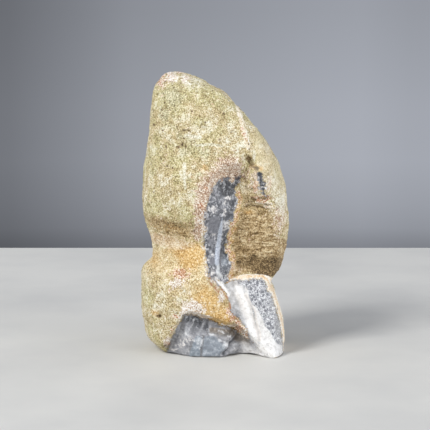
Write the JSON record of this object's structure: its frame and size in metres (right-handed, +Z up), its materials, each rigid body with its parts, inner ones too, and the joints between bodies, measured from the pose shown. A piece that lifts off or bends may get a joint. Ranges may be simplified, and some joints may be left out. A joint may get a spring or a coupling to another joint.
{
  "type": "cut base agate nodule",
  "caption": "Upright natural agate nodule with a pitted khaki rind, broken open at the front to grey and white banded chalcedony, standing on a sawn flat base",
  "frame": {"origin": "on the surface that the stone stands on, under the middle of its bounding box", "axes": "+Z up, +Y towards the unbroken back, so the broken front faces -Y, and +X to the right as seen from the front"},
  "size_m": [0.0594, 0.0483, 0.1099],
  "materials": {
    "agate": "matt granular khaki and ochre rind with a peach rim, and bare grey-blue to white banded chalcedony with a waxy gloss where it is broken"
  },
  "bodies": {
    "root": {"agate_nodule": "agate"}
  },
  "joints": []
}
